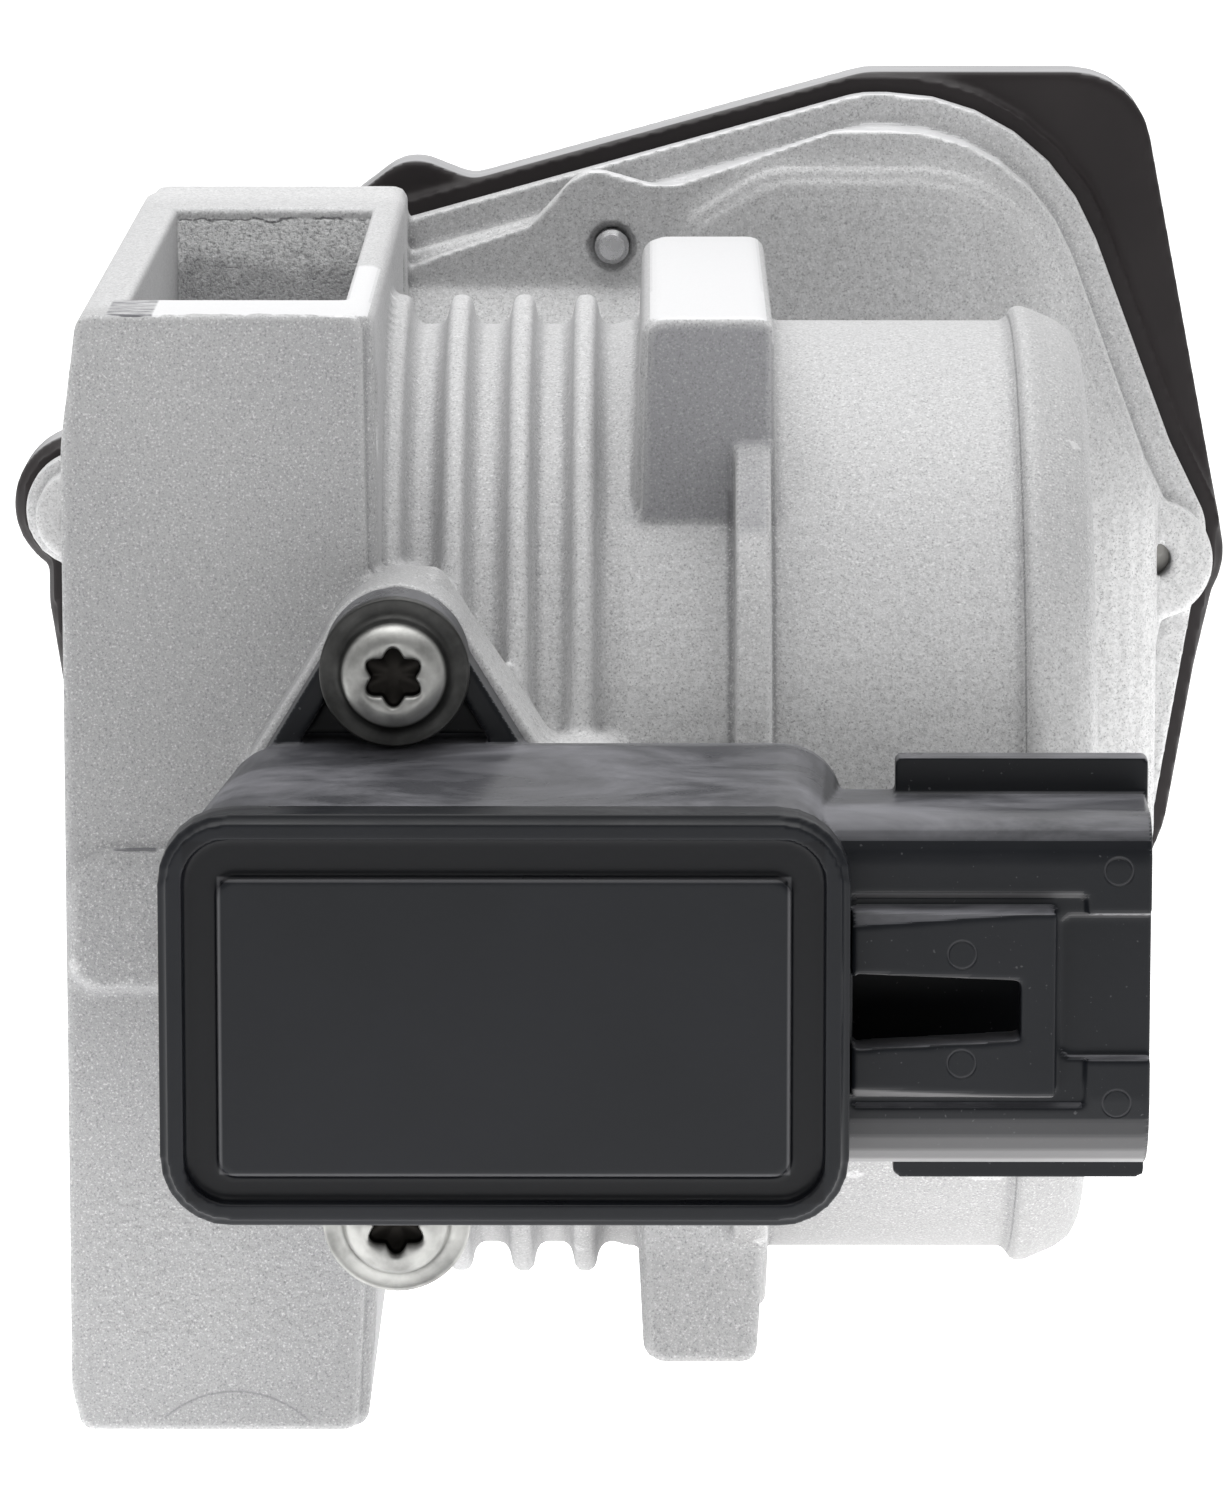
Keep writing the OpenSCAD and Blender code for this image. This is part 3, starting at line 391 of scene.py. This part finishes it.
def bead_step_shade(g, colour):
    """Painted shade: a fine dark line round the outside, in the step where the hose bead begins."""
    radius2 = g.math("ADD", g.math("POWER", g.where("Y"), 2.0), g.math("POWER", g.where("Z"), 2.0))
    line = g.times(g.within(0.07, X=(BEAD_X - 0.05, BEAD_X + 0.08), Y=(-45, 20)),
                   g.math("GREATER_THAN", radius2, OUTSIDE_R2))
    return g.mix(g.times(line, 0.6), colour, CREASE_SHADE_AND_CRACK_BLACK)


def painted_corner_shade_and_edge_light(g, colour):
    """Painted shade in the corners beside ribs and bosses and painted shadow beside the bar; painted
    highlight on outward edges.
    """
    bend = g.bend()
    colour = g.mix(g.span(bend, 0.49, 0.44, 0.0, 0.6), colour, SHADE_HIGHLIGHT_AND_SPECK_GREY)
    colour = g.mix(g.span(bend, 0.515, 0.58, 0.0, 0.45), colour, CAST_EDGE_HIGHLIGHT)
    bar_side_shadow = g.plus(*(g.within(0.2, X=(x0, x1), Z=(-20, top)) for x0, x1, top in BAR_SIDES))
    bar_side_shadow = g.times(bar_side_shadow, g.span(g.where("Y"), -24.0, -28.0))
    return g.mix(g.times(bar_side_shadow, 0.5), colour, SHADE_HIGHLIGHT_AND_SPECK_GREY)


def broken_wall(g, colour, pocket, sparkle):
    """The pocket's back wall: a ragged crack, then coarse grain that is bright at the top."""
    depth = g.plus(g.where("Z"), g.span(g.noise(0.5, detail=2.0), 0.3, 0.7, -1.5, 1.5))
    bright = g.span(depth, 37.5, 41.5, smooth=True)
    colour = g.mix(pocket, colour, WALL_GREY)
    colour = g.mix(g.times(pocket, bright, 0.9), colour, WALL_BRIGHT)
    colour = g.mix(g.times(pocket, g.span(sparkle, 0.47, 0.36, 0.0, 0.5)), colour,
                   WALL_DARK)
    colour = g.mix(g.times(pocket, g.span(sparkle, 0.54, 0.64),
                           g.span(bright, 0.0, 1.0, 0.1, 1.0)), colour, WHITE)
    height = g.plus(g.where("Z"), g.span(g.noise(0.45, detail=4.0), 0.3, 0.7, -0.3, 0.3))
    crack = g.times(g.span(height, POCKET_Z - 0.15, POCKET_Z - 0.05),
                    g.span(height, POCKET_Z + 0.15, POCKET_Z + 0.05),
                    g.span(g.noise(0.3), 0.42, 0.5), g.within(0.1, X=(5, 21), Y=(31.5, 33)))
    return g.mix(g.times(crack, 0.85), colour, CREASE_SHADE_AND_CRACK_BLACK)


def flecks(g, colour, shaded_lug_face):
    """Bright and dark flecks left by blasting, fewer bright ones on the lug's face with its painted
    shade.
    """
    fleck = g.noise(5.6, detail=1.0, rough=0.6)
    bright = g.times(g.span(fleck, 0.60, 0.70, 0.0, 0.5), g.span(shaded_lug_face, 0.0, 1.0, 1.0, 0.4))
    colour = g.mix(bright, colour, FLECK_PALE)
    return g.mix(g.span(fleck, 0.40, 0.31, 0.0, 0.5), colour, FLECK_DARK)


def saw_scores(g, colour):
    """Grey patch with dark streaks at the left end of the sawn strip."""
    patch = g.times(g.within(0.12, X=SCORES_X, Y=(-42.4, SAW_Y[1])), g.span(g.facing("Z"), 0.4, 0.8))
    streaks = g.noise(1.0, detail=2.0, place=g.stretched(0.35, 2.2, 1.0))
    colour = g.mix(g.times(patch, 0.6), colour, SCORED)
    return g.mix(g.times(patch, g.span(streaks, 0.5, 0.58)), colour, SCORE_DARK)


def ejector_arc(g, colour):
    """Arc left by a round ejector at the foot of the flange's front face."""
    arc = g.times(g.ring(12.8, -49.0, 8.2, 0.16), g.within(0.3, Y=(-50, -41.4), Z=(-43, -40)))
    return g.mix(g.times(arc, 0.5), colour, ARC_GREY)


def cast_aluminium():
    """Shot-blasted casting, with sawn top faces, the marks left by its mould, and painted light and
    shade.
    """
    g = Graph("cast_aluminium")
    fine = g.noise(2.4, detail=3.0, rough=0.75)
    grain = g.noise(5.0, detail=2.0, rough=0.8)
    sparkle = g.noise(2.6, detail=2.0, rough=0.8)
    ragged = g.plus(g.where("Y"), g.span(g.noise(0.5, detail=3.0), 0.3, 0.7, -0.8, 0.8))
    sawn = sawn_faces(g, ragged)
    # Painted shade on the lug's front face.
    shaded_lug_face = g.times(g.within(0.6, X=(43, 56), Z=(26, SAW_Z)),
                       g.span(g.where("Y"), -26.0, -28.0), g.span(g.facing("Y"), -0.5, -0.9))
    peel = g.within(3.0, X=(2, 22), Y=(-50, -41.4), Z=(-38, -24))
    pocket = g.within(0.2, X=(4, 22), Y=(31.5, 33), Z=(30, POCKET_Z))
    colour = bead_step_shade(g, cast_grey(g))
    colour = g.mix(g.span(fine, 0.42, 0.6, 0.0, 0.35), colour, CAST_PITS)
    colour = g.mix(g.span(grain, 0.56, 0.7, 0.0, 0.55), colour, CAST_GRAIN)
    colour = g.mix(g.times(shaded_lug_face, 0.75), colour, CAST_LUG_FACE_SHADE)
    colour = painted_corner_shade_and_edge_light(g, colour)
    colour = broken_wall(g, colour, pocket, sparkle)
    colour = flecks(g, colour, shaded_lug_face)
    colour = g.mix(g.times(sawn, 0.88), colour, SAWN)
    colour = ejector_arc(g, saw_scores(g, colour))
    g.bump(g.plus(g.times(fine, 0.7), g.times(grain, 0.35)), 0.10, 0.75)
    g.bump(g.noise(0.28, detail=3.0), 0.08, 0.3)
    g.bump(g.times(g.noise(1.1, detail=2.0, rough=0.5, distort=0.5), peel), 0.30, 0.8)
    g.bump(g.times(sparkle, pocket), 0.30, 0.8)
    return g.done(colour, g.span(sawn, 0.0, 1.0, 0.62, 0.42), Metallic=0.25)


def smeared(g):
    """Long faint smears, as left by handling."""
    return g.noise(0.10, detail=5.0, rough=0.65, place=g.stretched(0.6, 1.6, 1.6), distort=0.6)


def connector_marks(g, base):
    """Smudges with painted sheen on upward faces, painted light on downward faces, pale edges and
    flash, specks, and four round ejector marks.
    """
    front = g.within(0.3, Y=CONNECTOR_Y)
    # Painted sheen on upward faces, broken up by smears.
    top = g.span(g.facing("Z"), 0.4, 0.8)
    base = g.mix(g.times(top, g.span(smeared(g), 0.42, 0.66, 0.35, 1.0)), base, SMUDGE_AND_SHEEN)
    # Painted light on downward faces, as from the floor below.
    lit_underside = g.span(g.facing("Z"), -0.2, -0.8, 0.0, 0.9)
    base = g.mix(lit_underside, base, UNDERSIDE_LIT)
    edge = g.times(g.within(0.05, X=(60.3, 77.6), Z=(SLIT_Z - 0.05, SLIT_Z + 0.05)), front)
    base = g.mix(g.times(edge, 0.6), base, SLIT_EDGE)
    speck = g.span(g.noise(2.6, detail=1.0), 0.73, 0.79, 0.0, 0.5)
    base = g.mix(speck, base, SHADE_HIGHLIGHT_AND_SPECK_GREY)
    marks = g.plus(*(g.ring(x, z, EJECTOR_R, 0.14) for x, z in EJECTORS))
    marks = g.times(marks, front, g.span(g.facing("Y"), -0.5, -0.9))
    base = g.mix(g.times(marks, 0.5), base, EJECTOR_GREY)
    g.bump(g.math("SUBTRACT", 0.5, marks), 0.12, 0.8)
    flash = g.times(g.within(0.05, X=(78.0, 82.6), Z=(1.8, 1.98)), front,
                    g.span(g.noise(1.1, detail=4.0), 0.42, 0.5))
    return g.mix(flash, base, FLASH_GREY)


def lid_panel(g, base):
    """The lid: painted shade in the channel round the panel, and a painted highlight as a pale line
    inside the panel's edge.
    """
    (x0, x1), (z0, z1) = LID_PANEL
    panel = g.within(0.1, X=(x0, x1), Z=(z0, z1))
    middle = g.within(0.1, X=(x0 + LID_HIGHLIGHT_WIDTH, x1 - LID_HIGHLIGHT_WIDTH), Z=(z0 + LID_HIGHLIGHT_WIDTH, z1 - LID_HIGHLIGHT_WIDTH))
    channel = g.within(0.15, X=LID_CHANNEL[0], Z=LID_CHANNEL[1])
    # Painted shade in the channel, then a painted highlight inside the panel's edge.
    base = g.mix(g.times(g.math("SUBTRACT", channel, panel), 0.6), base, CHANNEL_SHADE_BLACK)
    return g.mix(g.times(g.math("SUBTRACT", panel, middle), 0.8), base, SHADE_HIGHLIGHT_AND_SPECK_GREY)


def dusty_lit_rim(g, base):
    """Pale dust and painted light on top of the cover's rim."""
    dust_and_light = g.times(g.span(g.facing("Z"), 0.5, 0.9), g.span(g.where("Y"), *COVER_TOP_Y), 0.8)
    return g.mix(dust_and_light, base, DUST_AND_TOP_LIGHT)


def moulded_black(name, colour, worn, rough, marks):
    """Satin black plastic with its own marks, smoother and rougher where it was handled."""
    g = Graph(name)
    fine = g.noise(1.6, detail=3.0)
    large = g.noise(0.05, detail=4.0)
    base = marks(g, g.mix(g.span(large, 0.35, 0.7), colour, worn))
    handled = g.times(g.span(g.facing("Z"), 0.4, 0.8), g.span(smeared(g), 0.4, 0.62, -0.1, 0.12))
    r = g.math("ADD", g.span(large, 0.3, 0.7, rough - 0.04, rough + 0.05), handled)
    g.bump(fine, 0.02, 0.5)
    return g.done(base, r, Metallic=0.0, Specular_IOR_Level=0.22)


def screw_metal(name):
    """Zinc-plated screws, darker inside the drive; worn bright, but for the upper screw's washer."""
    g = Graph(name)
    fine = g.noise(1.6, detail=4.0)
    stain = g.noise(0.35, detail=4.0)
    lower_screw = g.math("LESS_THAN", g.where("Z"), -20.0)
    worn = g.math("MAXIMUM", g.span(g.where("Y"), *SCREW_CROWN_Y), lower_screw)
    base = g.mix(g.span(stain, 0.35, 0.65), ZINC, ZINC_DARK)
    base = g.mix(g.times(worn, g.span(stain, 0.3, 0.6, 0.5, 1.0)), base, ZINC_WORN)
    deep = g.times(g.span(g.where("Y"), *SCREW_DRIVE_Y), g.within(0.1, X=(23.2, 28.6)),
                   g.math("GREATER_THAN", 3.0, g.from_screw()))
    base = g.mix(deep, base, DRIVE_INSIDE_DARK)
    g.bump(fine, 0.02, 0.5)
    g.bump(stain, 0.10, 0.35)
    return g.done(base, g.span(fine, 0.3, 0.7, 0.38, 0.52), Metallic=0.9)


def plain_metal(name, colour, rough, along=(1, 1, 1)):
    """Bare metal with faint stains, brushed along one axis where a stretch is given."""
    g = Graph(name)
    brushed = g.noise(1.2, detail=4.0, place=g.stretched(*along))
    stain = g.noise(0.12, detail=3.0)
    dark = tuple(c * 0.72 for c in colour)
    base = g.mix(g.span(stain, 0.35, 0.75), colour, dark)
    r = g.span(brushed, 0.3, 0.7, rough - 0.08, rough + 0.1)
    g.bump(brushed, 0.01, 0.5)
    return g.done(base, r, Metallic=1.0)


def soft_plastic(name, colour, rough, metallic=0.0):
    """Matt plastic or rubber in one colour with a faint change of tint."""
    g = Graph(name)
    fine = g.noise(0.9, detail=3.0)
    tint = tuple(c * 0.86 for c in colour)
    base = g.mix(g.span(g.noise(0.06), 0.35, 0.7), colour, tint)
    g.bump(fine, 0.015, 0.4)
    return g.done(base, g.span(fine, 0.3, 0.7, rough - 0.05, rough + 0.05), Metallic=metallic)


def make_materials():
    """Every material slot of the record, and the lid's own plastic."""
    return {
        "cast_aluminium": cast_aluminium(),
        "cover_plastic": moulded_black("cover_plastic", (0.018, 0.015, 0.0155),
                                       (0.028, 0.024, 0.0245), 0.45, dusty_lit_rim),
        "sensor_plastic": moulded_black("sensor_plastic", (0.004, 0.005, 0.007),
                                        (0.009, 0.010, 0.0125), 0.36, connector_marks),
        "lid_plastic": moulded_black("lid_plastic", (0.007, 0.008, 0.010),
                                     (0.011, 0.012, 0.015), 0.36, lid_panel),
        "black_rubber": soft_plastic("black_rubber", (0.02, 0.02, 0.02), 0.7),
        "screw_steel": plain_metal("screw_steel", (0.27, 0.265, 0.25), 0.35),
        "bright_steel": plain_metal("bright_steel", (0.62, 0.62, 0.63), 0.25),
        "plate_brass": plain_metal("plate_brass", (0.62, 0.50, 0.28), 0.3, (0.2, 3, 3)),
        "gear_plastic": soft_plastic("gear_plastic", (0.72, 0.68, 0.57), 0.5),
        "spring_steel": plain_metal("spring_steel", (0.25, 0.25, 0.27), 0.35),
        "pinion_brass": plain_metal("pinion_brass", (0.75, 0.58, 0.27), 0.3),
        "copper": plain_metal("copper", (0.70, 0.32, 0.16), 0.35, (1, 6, 1)),
        "motor_steel": plain_metal("motor_steel", (0.55, 0.55, 0.57), 0.35),
        "magnet_black": soft_plastic("magnet_black", (0.06, 0.06, 0.065), 0.6, 0.3),
        "end_cap_plastic": soft_plastic("end_cap_plastic", (0.03, 0.03, 0.032), 0.5),
        "circuit_board": soft_plastic("circuit_board", (0.03, 0.16, 0.06), 0.35),
    }


# ---------------------------------------------------------------- skins
# CAD node, new piece, material slot, material, size of the remesh cells in mm, smoothing passes.
SKINS = (
    ("throttle_housing", "housing_skin", "cast_aluminium", "cast_aluminium", 0.38, 1),
    ("gear_cover", "gear_cover_skin", "cover_plastic", "cover_plastic", 0.4, 2),
    ("sensor_housing", "sensor_housing_skin", "sensor_plastic", "sensor_plastic", 0.24, 1),
    ("sensor_lid", "sensor_lid_skin", "sensor_plastic", "lid_plastic", 0.22, 2),
)


def softened(node, name, voxel_mm, passes):
    """A new mesh of a CAD node with the small blended edges of a casting or a moulding."""
    mesh = nodes[node].data.copy()
    obj = bpy.data.objects.new(name, mesh)
    bpy.context.scene.collection.objects.link(obj)
    work = bmesh.new()
    work.from_mesh(mesh)
    bmesh.ops.remove_doubles(work, verts=work.verts, dist=1e-7)
    work.to_mesh(mesh)
    work.free()
    remesh = obj.modifiers.new("remesh", "REMESH")
    remesh.mode = "VOXEL"
    remesh.voxel_size = voxel_mm * MM
    remesh.use_smooth_shade = True
    smooth = obj.modifiers.new("smooth", "SMOOTH")
    smooth.factor = 0.5
    smooth.iterations = passes
    graph = bpy.context.evaluated_depsgraph_get()
    final = bpy.data.meshes.new_from_object(obj.evaluated_get(graph))
    obj.modifiers.clear()
    obj.data = final
    final.materials.clear()
    for face in final.polygons:
        face.use_smooth = True
    return obj


def skin(node, name, body, material, voxel_mm, passes):
    """Shows a softened copy in place of a CAD node."""
    obj = softened(node, name, voxel_mm, passes)
    obj.data.materials.append(material)
    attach(obj, body)
    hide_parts(node)


def node_materials(materials):
    """Gives every CAD node the material of its slot in the record."""
    slots = {s["node"]: s["material_slot"] for s in frame["record"]["subparts"]}
    for name, obj in nodes.items():
        obj.data.materials.clear()
        obj.data.materials.append(materials[slots[name]])


def lathed(name, rings, places):
    """A turned part along Y at each place: rings of (radius or radius by angle, y), back to front."""
    work = bmesh.new()
    count = 96
    for cx, cz in places:
        loops = []
        for radius, y in rings:
            loop = []
            for i in range(count):
                a = 2 * math.pi * i / count
                r = radius(a) if callable(radius) else radius
                loop.append(work.verts.new(mm(cx + r * math.cos(a), y, cz + r * math.sin(a))))
            loops.append(loop)
        for lower, upper in zip(loops, loops[1:]):
            for i in range(count):
                j = (i + 1) % count
                work.faces.new((lower[i], lower[j], upper[j], upper[i]))
        work.faces.new(list(reversed(loops[0])))
        work.faces.new(loops[-1])
    bmesh.ops.recalc_face_normals(work, faces=work.faces)
    mesh = bpy.data.meshes.new(name)
    work.to_mesh(mesh)
    work.free()
    for face in mesh.polygons:
        face.use_smooth = True
    obj = bpy.data.objects.new(name, mesh)
    bpy.context.scene.collection.objects.link(obj)
    return obj


def six_lobes(tip, root):
    """Radius of a six-lobed drive by angle, with a lobe straight down."""
    return lambda a: root + (tip - root) * (0.5 - 0.5 * math.cos(6 * a)) ** 0.8


def sensor_screws(material):
    """The two sensor screws: a washer, a domed crown and a six-lobed drive, turned in one piece."""
    outer = six_lobes(2.5, 1.95)
    inner = six_lobes(2.3, 1.7)
    deep = six_lobes(2.1, 1.55)
    rings = [(2.1, -35), (2.1, -52.05), (5.62, -52.05), (5.7, -52.15), (5.7, -53.18),
             (5.66, -53.32), (5.55, -53.38), (5.4, -53.33), (4.7, -53.3), (4.35, -53.42),
             (4.15, -53.75), (4.02, -54.3), (3.93, -54.8), (3.78, -55.2), (3.5, -55.52),
             (3.1, -55.75), (2.75, -55.86), (outer, -55.9), (inner, -55.7), (inner, -54.4),
             (deep, -54.2), (0.6, -53.9)]
    obj = lathed("sensor_screw_heads", rings, [(SCREW_X, z) for z in SCREW_Z])
    obj.data.materials.append(material)
    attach(obj, "housing")
    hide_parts("sensor_screws")


add_camera()
add_floor(cad_box[0].z)
add_world()
add_area("top", mm(30, 20, 800), mm(40, 0, 0), (0.9, 0.9), 4.6)
materials = make_materials()
node_materials(materials)
for node, name, slot, look, voxel_mm, passes in SKINS:
    skin(node, name, "housing", materials[look], voxel_mm, passes)
sensor_screws(screw_metal("sensor_screw"))
bpy.context.scene.view_settings.view_transform = "Standard"
